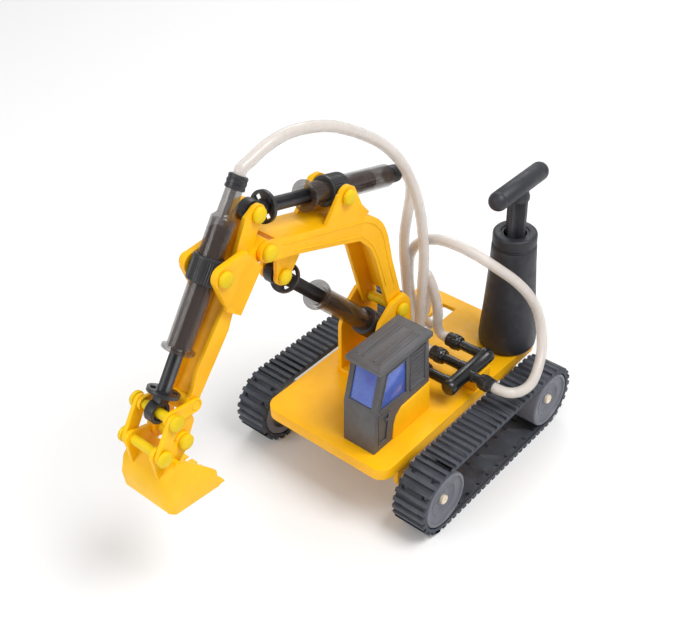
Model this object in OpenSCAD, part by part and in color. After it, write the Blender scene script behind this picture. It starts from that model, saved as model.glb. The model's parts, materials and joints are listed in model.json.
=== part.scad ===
// Hydraulic arm kit: a tracked chassis with a three-section arm that is
// worked by three water-filled syringes, a valve manifold and a hand pump.
// +X is forward (the arm reaches along +X), +Y is the cab side, +Z is up.
// Z = 0 is the standing surface.

/* [Chassis] */
// Distance between the front and rear axles
wheelbase = 90; // [86:1:92]
// Overall width over both tracks
track_w = 120; // [118:1:122]
// Width of one rubber belt
belt_w = 18; // [17:0.5:18]
// Radius of a road wheel
wheel_r = 14.7; // [14.2:0.1:14.8]
// Length of the deck plate
deck_l = 130; // [128:1:131]
// Width of the deck plate
deck_w = 76; // [74:1:78]

/* [Arm] */
// Width of the boom channel
boom_w = 19; // [18.6:0.1:19.4]
// Width of the bucket
bucket_w = 27; // [24:1:28]

/* [Syringes] */
// Outside radius of a syringe barrel
barrel_r = 5.35; // [5.2:0.05:5.5]
// Bore radius of a syringe barrel
bore_r = 4.45; // [4.3:0.05:4.5]
// Length of a barrel from its flange to its shoulder
barrel_l = 57; // [55:1:58]
// Radius of a plunger's thumb disc
thumb_r = 7.1; // [6.6:0.1:7.3]

/* [Tubes] */
// Outside diameter of the hydraulic tubes
tube_d = 5.2; // [4.6:0.1:5.4]

/* [Hidden] */
$fn = 48;

// shift that centres the assembly over the origin
ox = 3.25;
ay = -14;            // plane of the arm
axle_z = 18.3;
belt_out = 18.3;     // rib tips
belt_top = 16.7;     // face of the belt between ribs
belt_in = 15.1;
deck_z = 37;
lip = 6.6;
deck_x1 = 19.5;
deck_x0 = deck_x1 - deck_l;
tr = tube_d/2;

// arm pivots, as [x, z]
O = [-43.5, 76];       // boom foot
J = [39.5, 153.5];     // boom to stick
T2 = [-9.5, 156];      // stick ram trunnion
P2 = [39.4, 169.8];    // stick ram eye
T3 = [-33, 68];        // boom ram trunnion
P3 = [27.8, 133.1];    // boom ram eye
sa = -49.46;           // lie of the stick
us = [cos(sa), sin(sa)];
ns = [-sin(sa), cos(sa)];
function S(s, t) = J + s*us + t*ns;
T1 = S(15.3, 20.5);    // bucket ram trunnion
Q = S(84.7, 0.6);      // stick to bucket
K = S(69.0, 2.6);      // rocker on stick
B = S(92.1, 12.0);     // link on bucket
P1 = S(76.4, 14.0);    // rocker, link and bucket ram eye
L1 = norm(P1 - T1);
L2 = norm(P2 - T2);
L3 = norm(P3 - T3);
function ang(a, b) = atan2(b[1]-a[1], b[0]-a[0]);

yel = [0.96, 0.68, 0.10];
lemon = [0.97, 0.79, 0.12];
lime = [0.82, 0.78, 0.10];
blk = [0.10, 0.10, 0.11];
gry = [0.36, 0.36, 0.36];
rub = [0.20, 0.21, 0.25];
whl = [0.44, 0.44, 0.48];
smoke = [0.40, 0.34, 0.32];
milk = [0.88, 0.86, 0.84];
brass = [0.90, 0.83, 0.74];

// ---------- helpers ----------
// an (x, z) outline given thickness from y0 to y1
module side(pts, y0, y1) translate([0, y1, 0]) rotate([90, 0, 0])
  linear_extrude(y1 - y0) polygon(pts);
// a cylinder along Y
module ycyl(p, r, y0, y1) translate([p[0], y1, p[1]]) rotate([90, 0, 0])
  cylinder(h = y1 - y0, r = r);
// a straight bar with round ends in the (x, z) plane
module bar(p, q, r, y0, y1) {
  d = (q - p)/norm(q - p); n = [-d[1], d[0]];
  side([p + r*n, q + r*n, q - r*n, p - r*n], y0, y1);
  ycyl(p, r, y0, y1); ycyl(q, r, y0, y1);
}
// mirrors its children about the arm's plane
module both() { children(); translate([0, 2*ay, 0]) mirror([0, 1, 0]) children(); }
// domed button on the end of a pin, pointing to +Y from y0
module dome(p, r, y0, h) translate([p[0], y0, p[1]]) rotate([-90, 0, 0])
  rotate_extrude() polygon([[0, 0], [r, 0], [r, h*0.45], [r*0.93, h*0.68],
    [r*0.75, h*0.86], [r*0.45, h*0.97], [0, h]]);
// cross pin with a dome on each end; w is half its length
module pin(p, r, w, rd, hd) {
  ycyl(p, r, ay - w, ay + w);
  both() dome(p, rd, ay + w, hd);
}

// ---------- chassis ----------
module round_plate(x0, x1, w, r, z0, z1) translate([0, 0, z0]) {
  translate([x0 + r, -w/2, 0]) cube([x1 - x0 - 2*r, w, z1 - z0]);
  translate([x0, -w/2 + r, 0]) cube([x1 - x0, w - 2*r, z1 - z0]);
  for (x = [x0 + r, x1 - r], y = [-w/2 + r, w/2 - r])
    translate([x, y, 0]) cylinder(h = z1 - z0, r = r);
}
module deck() color(yel) difference() {
  round_plate(deck_x0, deck_x1, deck_w, 7, deck_z - lip, deck_z);
  round_plate(deck_x0 + 2.2, deck_x1 - 2.2, deck_w - 4.4, 4.8,
    deck_z - lip - 1, deck_z - 2.6);
  translate([-102, ay - 4, deck_z - 5]) cube([24, 8, 8]);
  translate([-97.5, 26.5, deck_z - 5]) cylinder(h = 8, r = 4.1);
}
module boom_bracket() color(yel) difference() {
  union() {
    translate([-53, ay - 13, deck_z]) cube([30, 26, 2.6]);
    both() side([[-52, deck_z + 2.6], [-23, deck_z + 2.6], [-24, 66], [-28, 76],
      [-37, 83], [-47, 83.5], [-51, 78], [-52, 66]], ay + 9.9, ay + 12.1);
  }
  both() ycyl(O, 2.5, ay + 9, ay + 13);
  both() ycyl(T3, 2.25, ay + 9, ay + 13);
}
module engine_cover() color(yel) difference() {
  side([[-30, deck_z], [-1.3, deck_z], [-2.2, 46], [-4.2, 50.5], [-8, 53.4],
    [-30, 54.3]], 8.2, 27);
  translate([-28, 10.2, deck_z - 1]) cube([18, 14.8, 14]);
}
cab_side = [[12.5, deck_z], [11.6, 60.5], [5.2, 82.5], [-28.5, 82.5], [-29.5, 54.55],
  [-8, 53.65], [-4, 50.7], [-1.95, 46.1], [-1, deck_z]];
module cab_shell() color(gry) difference() {
  side(cab_side, 8, 26.6);
  // hollow inside, open below
  side([[10.2, deck_z - 1], [9.4, 60], [3.4, 80.4], [-26.6, 80.4], [-27, 57],
    [-6.4, 56], [-1.6, 51.6], [0.8, 46.6], [1.6, deck_z - 1]], 9.8, 24.8);
  // side window, windscreen
  side([[7.7, 61.6], [2.2, 79.8], [-11.5, 79.8], [-11.5, 60.4]], 24.7, 27);
  translate([0, 0, 0]) side([[20, 63], [9, 63], [3.6, 80.2], [20, 80.2]], 10.8, 23.8);
  // louvred panel and door recesses, half a millimetre deep
  side([[-15, 79.6], [-25.6, 79.6], [-25.6, 59.4], [-15, 59.4]], 26.1, 27);
  side([[8.2, 58], [1, 57], [3.4, 41], [8.8, 41]], 26.1, 27);
}
module cab_roof() color(gry) {
  difference() {
    side([[8.2, 82.5], [8.4, 85.4], [-30.2, 85.4], [-30.4, 82.5]], 6.8, 27.8);
    translate([-20, 12, 82]) cube([10, 10, 1.6]);
  }
  for (y = [10.5, 14.2, 20.4, 24.1]) translate([-24, y - 0.45, 85.4])
    cube([28, 0.9, 0.6]);
}
module cab_windows() color([0.33, 0.45, 0.72]) {
  side([[7.55, 61.75], [2.1, 79.65], [-11.35, 79.65], [-11.35, 60.55]], 24.8, 26.1);
  side([[10.35, 63.15], [9.4, 63.15], [4.25, 80.05], [5.4, 80.05]], 10.95, 23.65);
}
mx0 = -70; mx1 = -35; my = 33.5; mz = 49; mr = 4;
ports = [-40, -53.5, -67];
near_port = -50.5;
module manifold_body() color(blk) {
  translate([mx0, my, mz]) rotate([0, 90, 0]) cylinder(h = mx1 - mx0, r = mr);
  for (x = ports) translate([x, my, mz]) rotate([90, 0, 0]) cylinder(h = my - 14, r = 2.5);
  translate([near_port, my, mz]) rotate([-90, 0, 0]) cylinder(h = 12, r = 2.5);
}
module manifold_post() color(yel) difference() {
  translate([-66, 28.5, deck_z]) cube([12.4, 9, 9.4]);
  translate([mx0 - 1, my, mz]) rotate([0, 90, 0]) cylinder(h = 40, r = mr);
}
// knurled clamp collar round a port; it points along Y
module collar(x, y0, y1, s) difference() {
  union() {
    translate([x, y0, mz]) rotate([-90, 0, 0]) cylinder(h = y1 - y0, r = 3.7);
    translate([x, (y0 + y1)/2 - 1.6 + s, mz]) rotate([-90, 0, 0]) cylinder(h = 3.2, r = 4.1);
  }
  translate([x, s > 0 ? y0 + 3.5 : y0 - 1, mz]) rotate([-90, 0, 0])
    cylinder(h = y1 - y0 - 2.5, r = 2.53);
}
module port_collars() color(blk) {
  for (x = ports) collar(x, 10.5, 18.5, 0.8);
  collar(near_port, 42, 50, -0.8);
}
px = -97.5; py = 26.5;
module pump_barrel() color(blk) translate([px, py, 0]) difference() {
  union() {
    translate([0, 0, deck_z]) rotate_extrude() polygon([[0, 0], [13.8, 0], [14.6, 1.4],
      [15, 3.4], [15, 5.6], [14.7, 9], [13.9, 18], [13.1, 28], [12.3, 40],
      [11.6, 52], [11.2, 61], [0, 61]]);
    translate([0, 0, deck_z - 10.5]) cylinder(h = 11, r = 3.5);
    // outlet barb under the deck
    translate([0, 1, deck_z - 10.5]) rotate([90, 0, 0]) cylinder(h = 13.5, r = 2.5);
  }
  translate([0, 0, deck_z + 6]) cylinder(h = 60, r = 8.6);
}
module pump_cap() color(blk) translate([px, py, 98]) difference() {
  union() {
    cylinder(h = 6.4, r = 11);
    translate([0, 0, 6.4]) cylinder(h = 0.9, r1 = 11, r2 = 10.2);
  }
  translate([0, 0, -1]) cylinder(h = 10, r = 5.55);
}
module axle_hangers() color(blk) for (x = [0, -wheelbase], s = [-1, 1]) difference() {
  union() {
    translate([x - 5, s*33.5 - 1.5, axle_z]) cube([10, 3, deck_z - 2.6 - axle_z]);
    translate([x, s*33.5 + 1.5, axle_z]) rotate([90, 0, 0]) cylinder(h = 3, r = 5);
  }
  translate([x, s*33.5 + 3, axle_z]) rotate([90, 0, 0]) cylinder(h = 6, r = 2.45);
}

// belt: a stadium ring with cross ribs, and two rows of square holes
nrib = 68;
rp = 15.7;
plen = 2*wheelbase + 2*PI*rp;
module on_belt(i) {
  d = i*plen/nrib;
  a = PI*rp;
  if (d < wheelbase) translate([-d, 0, 0]) children();
  else if (d < wheelbase + a) translate([-wheelbase, 0, 0])
    rotate([0, -(d - wheelbase)/rp*180/PI, 0]) children();
  else if (d < 2*wheelbase + a) translate([-wheelbase + (d - wheelbase - a), 0, 0])
    rotate([0, 180, 0]) children();
  else rotate([0, -180 - (d - 2*wheelbase - a)/rp*180/PI, 0]) children();
}
module stadium(r, w) side(concat(
  [for (k = [0:24]) let (a = 90 - k*7.5) [r*cos(a), r*sin(a)]],
  [for (k = [0:24]) let (a = 270 - k*7.5) [-wheelbase + r*cos(a), r*sin(a)]]), -w/2, w/2);
module belt() difference() {
  union() {
    difference() { stadium(belt_top, belt_w); stadium(belt_in, belt_w + 2); }
    for (i = [0:nrib - 1]) on_belt(i)
      translate([-1.05, -belt_w/2, belt_top - 0.5]) cube([2.1, belt_w, belt_out - belt_top + 0.5]);
  }
  for (i = [0:2:nrib - 1], y = [-5.8, 5.8]) on_belt(i + 0.5)
    translate([-0.9, y - 1.3, belt_in - 1]) cube([1.8, 2.6, 3]);
}
by = track_w/2 - belt_w/2;
module track_left() color(rub) translate([0, by, axle_z]) belt();
module track_right() color(rub) translate([0, -by, axle_z]) belt();

// ---------- wheels ----------
module axle(x) color(brass) translate([x, track_w/2 - 0.6, axle_z]) rotate([90, 0, 0])
  cylinder(h = track_w - 1.2, r = 2.4);
// road wheel with a dished outer face; its outer side is +Y
module wheel() rotate([-90, 0, 0]) rotate_extrude() polygon([[2.42, 0.6], [6, 0.6],
  [6, 2.6], [11, 2.6], [11, 0], [wheel_r, 0], [wheel_r, 17.2], [wheel_r - 0.7, 17.8],
  [12.9, 17.8], [12.9, 16.9], [8.2, 16.3], [7.2, 15.6], [4.6, 15.2], [2.42, 15.2]]);
module place_wheel(x, s) color(whl) translate([x, 0, axle_z])
  mirror([0, s < 0 ? 1 : 0, 0]) translate([0, track_w/2 - 17.9, 0]) wheel();
module front_axle() axle(0);
module rear_axle() axle(-wheelbase);
module wheel_front_left() place_wheel(0, 1);
module wheel_front_right() place_wheel(0, -1);
module wheel_rear_left() place_wheel(-wheelbase, 1);
module wheel_rear_right() place_wheel(-wheelbase, -1);

// ---------- pump ----------
module pump_rod() color(blk) translate([px, py, 75]) {
  for (a = [0, 90]) rotate([0, 0, a]) translate([-5.2, -1.1, 0]) cube([10.4, 2.2, 49]);
}
module pump_piston() color(blk) translate([px, py, 67]) rotate_extrude()
  polygon([[0, 0], [8.4, 0], [8.5, 1], [8.5, 2.2], [7.7, 2.8], [7.7, 5.2], [8.5, 5.8],
    [8.5, 7], [8.3, 8], [0, 8]]);
module pump_handle() color(blk) translate([px, py, 130.8]) {
  translate([0, 0, -6.8]) cylinder(h = 4, r = 5.6);
  translate([-17.2, 0, 0]) rotate([0, 90, 0]) cylinder(h = 34.4, r = 4.8);
  for (x = [-17.2, 17.2]) translate([x, 0, 0]) sphere(r = 4.8);
}

// ---------- boom ----------
boom_out = [[39, 158.1], [-17, 141.4], [-21.8, 139.9], [-26, 137.6],
  [-29.8, 134.6], [-32.9, 131], [-35.3, 126.6], [-37, 121.8], [-38.4, 115.5],
  [-40.3, 106], [-48.2, 77.4], [-38.7, 74.6], [-27.8, 113], [-24, 121.5],
  [-17.5, 128.8], [-3, 134.3], [25, 144.4], [40.8, 149]];
boom_cav = [[55, 160.5], [39, 155.8], [-16.4, 139.2], [-24.8, 136], [-30.7, 130.8],
  [-34.9, 123.4], [-38.1, 105.5], [-46.2, 76.4], [-56, 50], [-20, 50], [-10, 110],
  [0, 126], [30, 136], [60, 142]];
bc = boom_w/2;
module boom() color(yel) difference() {
  union() {
    difference() {
      union() {
        side(boom_out, ay - bc, ay + bc);
        ycyl(O, 5, ay - bc, ay + bc);
        ycyl(J, 4.7, ay - bc, ay + bc);
      }
      side(boom_cav, ay - 7.4, ay + 7.4);
      ycyl(O, 6.4, ay - 7.4, ay + 7.4);
      ycyl(J, 6.4, ay - 7.4, ay + 7.4);
    }
    // ears for the stick ram, one on each cheek
    both() { side([[6, 146], [-4.6, 158.6], [-14.4, 158.6], [-19, 147.5], [-24, 141],
      [-12, 138]], ay + 7.4, ay + bc); ycyl(T2, 5, ay + 7.4, ay + bc); }
    // the pair of lugs for the boom ram
    both() { side([[9, 148], [30.5, 154.4], [31.8, 133.5], [24.2, 131]], ay + 3.1, ay + 5.1);
      ycyl(P3, 4.3, ay + 3.1, ay + 5.1); }
  }
  // the channel's roof is cut back where the stick's lever swings
  translate([33.4, ay - 7.4, 150]) cube([14, 14.8, 14]);
  ycyl(O, 2.55, ay - 20, ay + 20);
  ycyl(J, 2.5, ay - 20, ay + 20);
  both() ycyl(T2, 2.25, ay + 7, ay + 12);
  ycyl(P3, 2.3, ay - 6, ay + 6);
}
module boom_pivot_pin() color(lime) pin(O, 2.48, 12.3, 3.7, 2.8);
module stick_pivot_pin() color(lime) pin(J, 2.48, 9.6, 3.7, 2.8);
module boom_ram_pin() color(lime) pin(P3, 2.28, 5.2, 3.5, 2.4);

// ---------- stick ----------
module stick_bracket() color(yel) difference() {
  union() {
    // floor and the knuckle that goes into the boom
    side([S(6.2, 0.2), S(28, 0.2), S(28, 2.2), S(6.2, 2.2)], ay - 9.5, ay + 9.5);
    side([S(0, -4.4), S(0, 4.6), S(7, 8), S(10, 8), S(10, 0.2), S(5, 0.2), S(3, -3)],
      ay - 7, ay + 7);
    ycyl(J, 4.6, ay - 7, ay + 7);
    // cheeks, each with a proud kite-shaped ear for the bucket ram
    both() {
      side([S(6.2, 0.2), S(28, 0.2), S(28, 9.6), S(25, 11.4), S(3.4, 13.2), S(3.6, 9)],
        ay + 7.4, ay + 9.5);
      side([S(2.4, 14.2), S(11.6, 23.7), S(18.9, 23.8), S(26, 12.2), S(24, 9.6), S(4.6, 11)],
        ay + 7.4, ay + 10.3);
      ycyl(T1, 4.8, ay + 7.4, ay + 10.3);
      side([S(6, 2), S(8, 13), S(-9, 16.6), S(-14.6, 14.4), S(-16.8, 9.6), S(-13.6, 6.4),
        S(-5, 6.4)], ay + 3.1, ay + 5.1);
      ycyl(P2, 4.3, ay + 3.1, ay + 5.1);
      // web that ties the lever to the cheek
      side([S(6.2, 2), S(10, 2), S(10, 12.4), S(6.2, 12.4)], ay + 3.1, ay + 9.5);
    }
  }
  ycyl(J, 2.55, ay - 8, ay + 8);
  both() ycyl(T1, 2.25, ay + 7, ay + 11);
  ycyl(P2, 2.3, ay - 6, ay + 6);
}
module stick_channel() color(yel) difference() {
  union() {
    side([S(11, 2.25), S(28.4, 2.25), S(36, 0.4), S(80, 0.2), S(80, 3), S(74, 3), S(70, 5.6), S(63, 6.2),
      S(56, 8.6), S(11, 8.6)], ay - 6.8, ay + 6.8);
    ycyl(K, 3.9, ay - 6.8, ay + 6.8);
    bar(S(78, 1.6), Q, 4.2, ay - 6.8, ay + 6.8);
  }
  side([S(8, 4.4), S(60, 2.2), S(92, 2.2), S(92, 12), S(8, 12)], ay - 5, ay + 5);
  side([S(72, -5), S(93, -5), S(93, 8), S(76, 8)], ay - 5, ay + 5);
  ycyl(K, 2.2, ay - 8, ay + 8);
  ycyl(Q, 2.2, ay - 8, ay + 8);
}
module stick_ram_pin() color(lime) pin(P2, 2.28, 5.2, 3.5, 2.4);
module bucket_pivot_pin() color(lime) pin(Q, 2.18, 8.9, 3.6, 2.5);
module rocker_pin() color(lemon) ycyl(K, 2.18, ay - 8.7, ay + 8.7);

// ---------- bucket and its linkage ----------
bw = bucket_w/2;
shell_out = [[99, 83.4], [104.2, 86.4], [110.6, 80], [113, 72], [112.3, 63.6],
  [108.8, 60], [84, 57.2], [84.6, 67], [93.6, 77.4]];
shell_in = [[96, 86.8], [103.4, 84.2], [109, 79], [111, 71.8], [110.3, 64.4],
  [107.9, 61.9], [80, 58.9], [78, 70]];
module bucket() color(lemon) difference() {
  union() {
    difference() {
      side(shell_out, ay - bw, ay + bw);
      side(shell_in, ay - bw + 1.7, ay + bw - 1.7);
    }
    // teeth on the cutting edge
    for (i = [0:4]) translate([0, ay - bw + 0.6 + i*(bucket_w - 4.4)/4, 0])
      side([[88, 57.5], [85.4, 59.2], [80.6, 57.9], [80.4, 57], [85, 56.9]], 0, 3.2);
    both() {
      side([Q + [-2, -3.4], Q + [5, 3], B + [-2, 3.2], B + [3.6, -0.8], [111, 80], [103, 82],
        [99, 81]], ay + 6.95, ay + 8.75);
      ycyl(Q, 3.9, ay + 6.95, ay + 8.75);
      ycyl(B, 3.9, ay + 6.95, ay + 8.75);
    }
  }
  ycyl(Q, 2.25, ay - 10, ay + 10);
  ycyl(B, 2.2, ay - 10, ay + 10);
}
module bucket_link_pin() color(lime) pin(B, 2.18, 11.3, 3.6, 2.5);
module rocker_arms() color(lemon) both() difference() {
  bar(K, P1, 3.2, ay + 6.95, ay + 8.75);
  ycyl(K, 2.25, ay, ay + 10);
  ycyl(P1, 2.2, ay, ay + 10);
}
module bucket_ram_pin() color(lime) pin(P1, 2.18, 11.3, 3.6, 2.5);
module bucket_links() color(lemon) both() difference() {
  bar(P1, B, 3.2, ay + 9.05, ay + 11.05);
  ycyl(P1, 2.25, ay, ay + 12);
  ycyl(B, 2.26, ay, ay + 12);
}

// ---------- rams ----------
module on_ram(T, P) translate([T[0], ay, T[1]]) rotate([0, -ang(T, P), 0]) children();
module xrev(pts) rotate([0, 90, 0]) rotate_extrude() polygon(pts);
// xf is the flange's place from the trunnion, nl the nozzle's length
module barrel(xf, nl) color(smoke) {
  xs = xf - barrel_l;
  xrev([[bore_r, xs + 1.2], [bore_r, xf], [7.2, xf], [7.2, xf - 1.5], [barrel_r, xf - 1.5],
    [barrel_r, xs], [3.7, xs - 1.6], [3.45, xs - 1.6 - nl], [1.2, xs - 1.6 - nl],
    [1.2, xs + 1.2]]);
}
module nozzle_cap(xf, nl) color(blk) {
  xe = xf - barrel_l - 1.6 - nl;
  difference() {
    xrev([[0, xe - 3], [3.9, xe - 3], [4.2, xe - 2.4], [4.2, xe + 2.8], [0, xe + 2.8]]);
    xrev([[0, xe], [3.7, xe], [3.7, xe + 4], [0, xe + 4]]);
  }
}
module ram_collar(w) color(blk) difference() {
  union() {
    xrev([[barrel_r, -5.5], [6.7, -5.5], [7, -5], [7, 5], [6.7, 5.5], [barrel_r, 5.5]]);
    for (s = [-1, 1]) rotate([-90*s, 0, 0]) translate([0, 0, 6]) cylinder(h = w - 6, r = 2.2);
  }
  xrev([[0, -7], [barrel_r, -7], [barrel_r, 7], [0, 7]]);
}
module ram_caps(w) color(lime) for (s = [-1, 1]) rotate([-90*s, 0, 0]) translate([0, 0, w])
  rotate_extrude() polygon([[0, 0], [3.5, 0], [3.5, 1.1], [3.2, 1.8], [2.6, 2.3],
    [1.5, 2.6], [0, 2.7]]);
// rl is how far the rod's far end lies behind the eye's centre
module ram_rod(L, rl) color(blk) difference() {
  union() {
    translate([L - rl, -0.8, -3.1]) cube([rl - 8.6, 1.6, 6.2]);
    translate([L - rl, -3.1, -0.8]) cube([rl - 8.6, 6.2, 1.6]);
    xrev([[0, L - 9.2], [thumb_r, L - 9.2], [thumb_r, L - 7.6], [0, L - 7.6]]);
    translate([L, 2.2, 0]) rotate([90, 0, 0]) cylinder(h = 4.4, r = 5);
    translate([L - 8.4, -2.2, -2.6]) cube([5, 4.4, 5.2]);
  }
  translate([L, 4, 0]) rotate([90, 0, 0]) cylinder(h = 8, r = 3.6);
  // four windows in the disc
  for (a = [45:90:315]) rotate([a, 0, 0]) translate([L - 12, -1.7, 3.4]) cube([6, 3.4, 2.3]);
}
module ram_piston(L, rl) color(blk) {
  r = bore_r - 0.05; e = L - rl;
  xrev([[0, e - 9.1], [2.6, e - 9.1], [r - 0.4, e - 8.1], [r, e - 7.7], [r, e - 6.5],
    [r - 0.6, e - 6.1], [r - 0.6, e - 4.9], [r, e - 4.5], [r, e - 3.3], [r - 0.6, e - 2.9],
    [r - 0.6, e - 1.7], [r, e - 1.3], [r, e], [0, e]]);
}
F1 = 35; N1 = 12.8; F2 = 17.7; N2 = 3; F3 = 53; N3 = 3;
module bucket_ram_barrel() on_ram(T1, P1) barrel(F1, N1);
module bucket_ram_collar() on_ram(T1, P1) ram_collar(10.4);
module bucket_ram_nozzle_cap() on_ram(T1, P1) nozzle_cap(F1, N1);
module bucket_ram_pin_caps() on_ram(T1, P1) ram_caps(10.45);
module bucket_ram_rod() on_ram(T1, P1) ram_rod(L1, 70.5);
module bucket_ram_piston() on_ram(T1, P1) ram_piston(L1, 70.5);
module stick_ram_barrel() on_ram(T2, P2) barrel(F2, N2);
module stick_ram_collar() on_ram(T2, P2) ram_collar(9.75);
module stick_ram_nozzle_cap() on_ram(T2, P2) nozzle_cap(F2, N2);
module stick_ram_pin_caps() on_ram(T2, P2) ram_caps(9.8);
module stick_ram_rod() on_ram(T2, P2) ram_rod(L2, 69.5);
module stick_ram_piston() on_ram(T2, P2) ram_piston(L2, 69.5);
module boom_ram_barrel() on_ram(T3, P3) barrel(F3, N3);
module boom_ram_collar() on_ram(T3, P3) ram_collar(12.3);
module boom_ram_nozzle_cap() on_ram(T3, P3) nozzle_cap(F3, N3);
module boom_ram_pin_caps() on_ram(T3, P3) ram_caps(12.35);
module boom_ram_rod() on_ram(T3, P3) ram_rod(L3, 69.5);
module boom_ram_piston() on_ram(T3, P3) ram_piston(L3, 69.5);

// ---------- tubes ----------
// end face of a nozzle cap, as a point, and the ram's direction away from it
function ram_dir(T, P) = (P - T)/norm(P - T);
function cap_end(T, P, xf, nl) = T + (xf - barrel_l - 1.6 - nl - 3)*ram_dir(T, P);
function p3(p, y) = [p[0], y, p[1]];
E1 = cap_end(T1, P1, F1, N1); D1 = ram_dir(T1, P1);
E2 = cap_end(T2, P2, F2, N2); D2 = ram_dir(T2, P2);
E3 = cap_end(T3, P3, F3, N3); D3 = ram_dir(T3, P3);
unit = function(v) v/norm(v);
function tangent(P, i) = i == 0 ? unit(P[1] - P[0])
  : i == len(P) - 1 ? unit(P[i] - P[i-1]) : unit(unit(P[i] - P[i-1]) + unit(P[i+1] - P[i]));
// normals carried along the route without twist
function carry(P, i, n, out) = i == len(P) ? out :
  let (t = tangent(P, i), m = unit(n - (n*t)*t)) carry(P, i + 1, m, concat(out, [m]));
module tube(P, first) {
  n = 10;
  t0 = tangent(P, 0);
  N = carry(P, 0, unit(first - (first*t0)*t0), []);
  pts = [for (i = [0:len(P)-1]) let (t = tangent(P, i), a = N[i], b = cross(t, a))
    for (k = [0:n-1]) P[i] + tr*(cos(360*k/n)*a + sin(360*k/n)*b)];
  m = len(P);
  polyhedron(points = pts, faces = concat(
    [[for (k = [0:n-1]) k]], [[for (k = [n-1:-1:0]) (m-1)*n + k]],
    [for (i = [0:m-2], k = [0:n-1]) [i*n + k, (i+1)*n + k, (i+1)*n + (k+1)%n, i*n + (k+1)%n]]));
}
bucket_route = concat([p3(E1, ay), p3(E1 - 2.2*D1, ay)], [
  [35.6, -14, 191.2], [29.6, -14, 192.9], [22.5, -13.8, 194], [13.8, -13.5, 194],
  [2.6, -13, 191.6], [-8.3, -12.3, 187.7], [-20.3, -11.5, 181], [-29.5, -10.5, 174.7],
  [-37.8, -9.5, 168], [-46.9, -7.8, 157.8], [-53.2, -5.6, 146.1], [-56.4, -3.2, 134.2],
  [-57.5, -1.2, 123], [-57.2, 0.6, 112], [-56.6, 1.8, 100], [-55.4, 2, 85],
  [-54.8, 1.8, 72], [-54.5, 1.4, 62], [-54.2, 2, 56], [-53.9, 3.8, 51.4],
  [-53.6, 6.2, 49.4], [-53.5, 8.4, 49], [-53.5, 10.5, 49]]);
stick_route = concat([p3(E2, ay), p3(E2 - 3.5*D2, ay)], [
  [-61.6, -13.9, 139.4], [-65, -13.8, 134.4], [-65.6, -13.6, 127], [-63.4, -13.5, 118],
  [-61, -13.5, 107], [-60.6, -13.5, 96], [-61.4, -13.2, 85], [-61.8, -12.6, 75], [-61, -11.2, 66],
  [-60, -8.4, 59], [-58.8, -4.4, 52.6], [-56.6, -0.6, 48], [-53, 2.2, 45.9], [-48, 3.8, 45.6],
  [-43.4, 4.8, 46.6], [-40.8, 6.2, 48.4], [-40, 8.4, 49], [-40, 10.5, 49]]);
boom_route = concat([p3(E3, ay), p3(E3 - 3.5*D3, ay - 0)], [
  [-50.4, -13.8, 47.2], [-57, -12.8, 44.2], [-65, -11, 44.6], [-72, -10, 49.5], [-76, -10, 58],
  [-76.6, -10.2, 67], [-75, -9.6, 74], [-71.6, -7, 78.6], [-68.4, -3, 79], [-66.6, 0.6, 75.6],
  [-66, 3.4, 68.6], [-66, 4.2, 62], [-66.2, 4, 56.5], [-66.6, 4.6, 52], [-66.9, 6.4, 49.7],
  [-67, 8.4, 49], [-67, 10.5, 49]]);
pump_route = [[near_port, 50, 49], [near_port, 53, 49], [-52, 57.6, 48.7], [-57, 60.6, 47.6],
  [-66, 61.2, 46.8], [-75, 59, 48.6], [-83.4, 55.6, 53.6], [-88.6, 51.2, 62], [-88, 48, 73],
  [-83, 45.2, 84], [-76.8, 41, 93.6], [-70.6, 35, 101.4], [-66.4, 27, 107], [-63.8, 17, 110.2],
  [-63, 7, 110], [-63.6, -2, 106], [-65, -9.6, 99], [-67, -14.6, 90], [-69, -17, 79],
  [-70.4, -17.4, 67], [-72.6, -16.8, 56], [-76.4, -15.6, 47], [-81.4, -14.6, 39.4],
  [-87, -13, 32], [-92, -8.6, 27.4], [-95.8, -1.4, 26.5], [-97.5, 9, 26.5], [-97.5, 14, 26.5]];
module bucket_tube() color(milk) tube(bucket_route, [0, 1, 0]);
module stick_tube() color(milk) tube(stick_route, [0, 1, 0]);
module boom_tube() color(milk) tube(boom_route, [0, 1, 0]);
module pump_tube() color(milk) tube(pump_route, [0, 0, 1]);

translate([ox, 0, 0]) {
  deck();
  boom_bracket();
  engine_cover();
  cab_shell();
  cab_roof();
  cab_windows();
  manifold_body();
  manifold_post();
  port_collars();
  pump_barrel();
  pump_cap();
  axle_hangers();
  track_left();
  track_right();
  boom_pivot_pin();
  boom();
  boom_ram_pin();
  stick_pivot_pin();
  stick_bracket();
  stick_channel();
  stick_ram_pin();
  bucket_pivot_pin();
  rocker_pin();
  bucket();
  bucket_link_pin();
  rocker_arms();
  bucket_ram_pin();
  bucket_links();
  bucket_ram_barrel();
  bucket_ram_collar();
  bucket_ram_nozzle_cap();
  bucket_ram_pin_caps();
  bucket_ram_rod();
  bucket_ram_piston();
  stick_ram_barrel();
  stick_ram_collar();
  stick_ram_nozzle_cap();
  stick_ram_pin_caps();
  stick_ram_rod();
  stick_ram_piston();
  boom_ram_barrel();
  boom_ram_collar();
  boom_ram_nozzle_cap();
  boom_ram_pin_caps();
  boom_ram_rod();
  boom_ram_piston();
  pump_rod();
  pump_handle();
  pump_piston();
  front_axle();
  wheel_front_left();
  wheel_front_right();
  rear_axle();
  wheel_rear_left();
  wheel_rear_right();
  bucket_tube();
  stick_tube();
  boom_tube();
  pump_tube();
}
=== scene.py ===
"""Tracked toy excavator with a syringe-driven arm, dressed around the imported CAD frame."""
import json
import math

import bmesh
import bpy
import numpy as np
from mathutils import Matrix, Vector


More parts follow.
